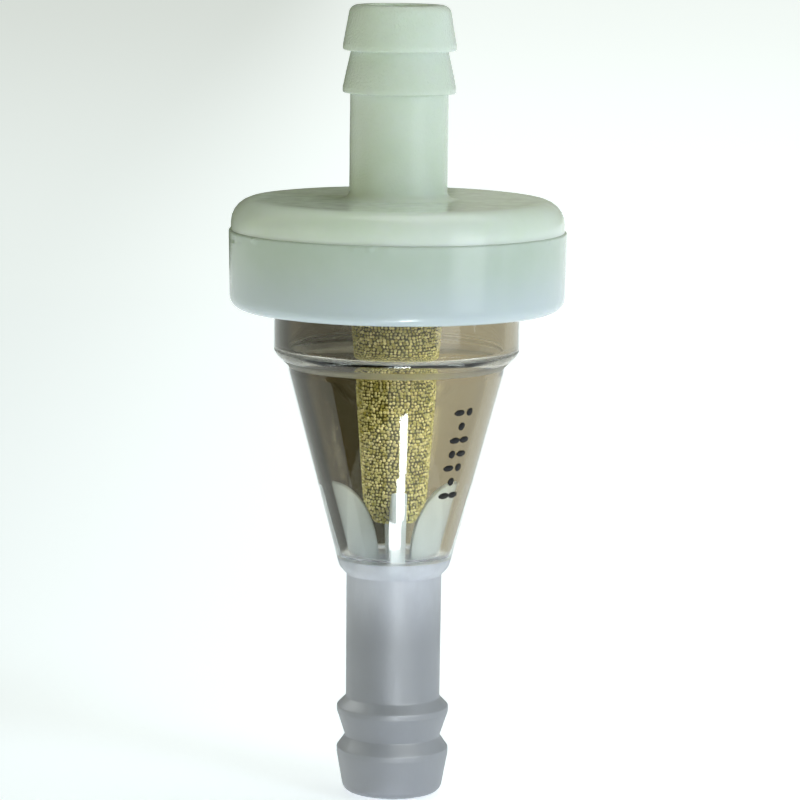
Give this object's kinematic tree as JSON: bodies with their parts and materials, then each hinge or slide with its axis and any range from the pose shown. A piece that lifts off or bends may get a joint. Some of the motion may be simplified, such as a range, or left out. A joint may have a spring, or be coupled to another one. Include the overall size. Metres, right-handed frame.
{
  "type": "inline fuel filter",
  "caption": "Small in-line fuel filter: milky disc cap and clear conical bowl, each with a barbed hose nipple, around a sintered bronze cone.",
  "frame": {"origin": "centre of the bowl's hose end face, at the lowest point of the filter", "axes": "+Z along the axis from the bowl's hose end to the cap's hose end; X and Y are equivalent, through the centring ribs"},
  "size_m": [0.024, 0.024, 0.0566],
  "materials": {
    "cap_nylon": "milky pale green translucent moulded nylon",
    "ring_nylon": "milky blue-white translucent moulded nylon",
    "clear_plastic": "clear, faintly smoky moulded plastic, frosted at the ribs and the hose nipple",
    "sintered_bronze": "sintered bronze beads, unpolished"
  },
  "bodies": {
    "root": {"cap": "cap_nylon", "joining_ring": "ring_nylon", "bowl": "clear_plastic", "filter_element": "sintered_bronze"}
  },
  "joints": []
}
